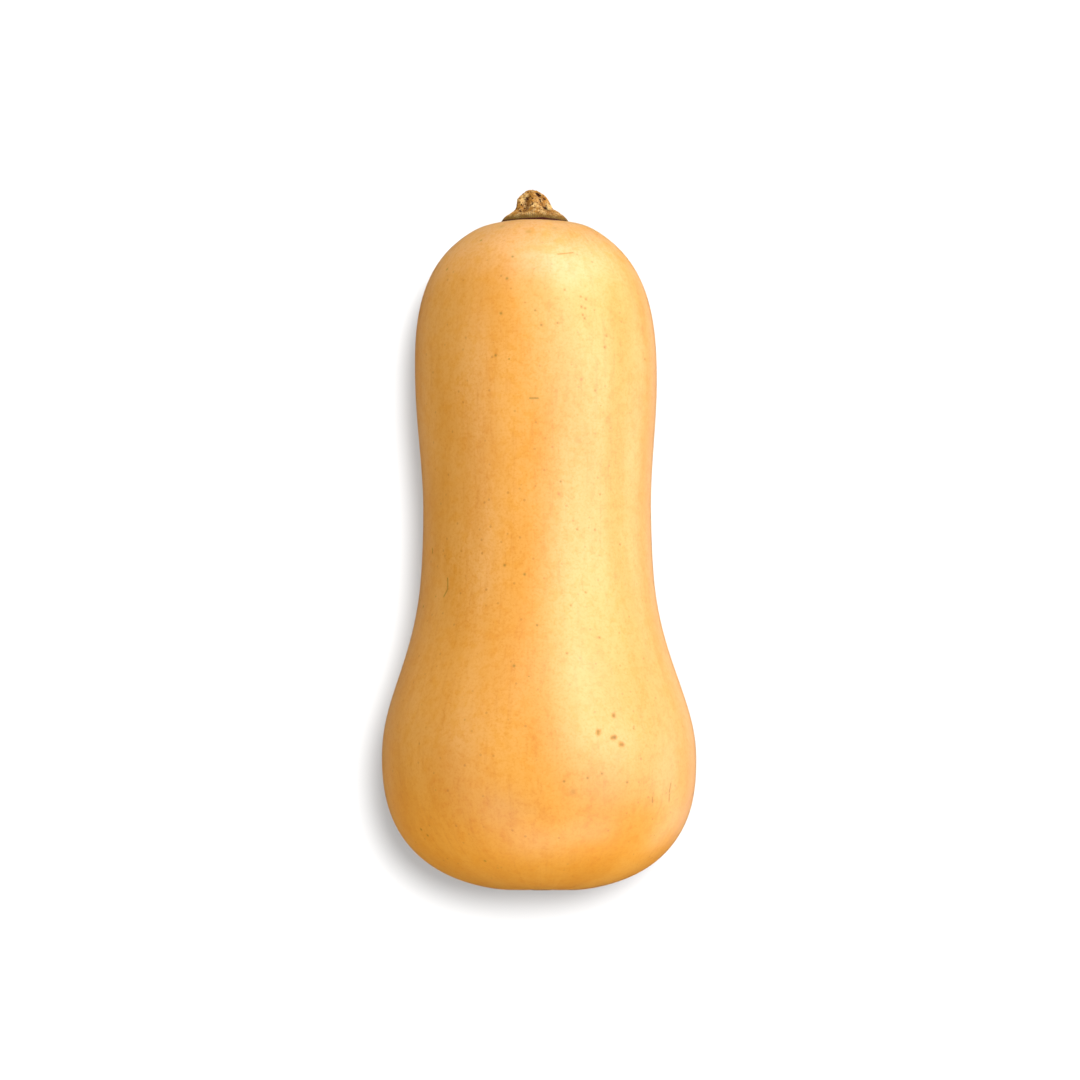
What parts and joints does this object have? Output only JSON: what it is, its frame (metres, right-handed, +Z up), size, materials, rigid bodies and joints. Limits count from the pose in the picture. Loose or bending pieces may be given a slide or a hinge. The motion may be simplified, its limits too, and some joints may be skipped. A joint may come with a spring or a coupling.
{
  "type": "butternut squash",
  "caption": "Whole butternut squash lying on its side: smooth tan rind, straight cylindrical neck, round bulb and a dry corky stalk stub.",
  "frame": {"origin": "on the surface that the squash lies on, under the middle of its bounding box", "axes": "+Y from the blossom end to the stalk, +Z up from the surface, +X to the right seen from above with the stalk away"},
  "size_m": [0.111, 0.249, 0.1106],
  "materials": {
    "squash_rind": "satin, waxy, finely speckled tan rind",
    "stalk_cork": "dry, rough, ridged cork"
  },
  "bodies": {
    "root": {"fruit": "squash_rind", "stalk": "stalk_cork"}
  },
  "joints": []
}
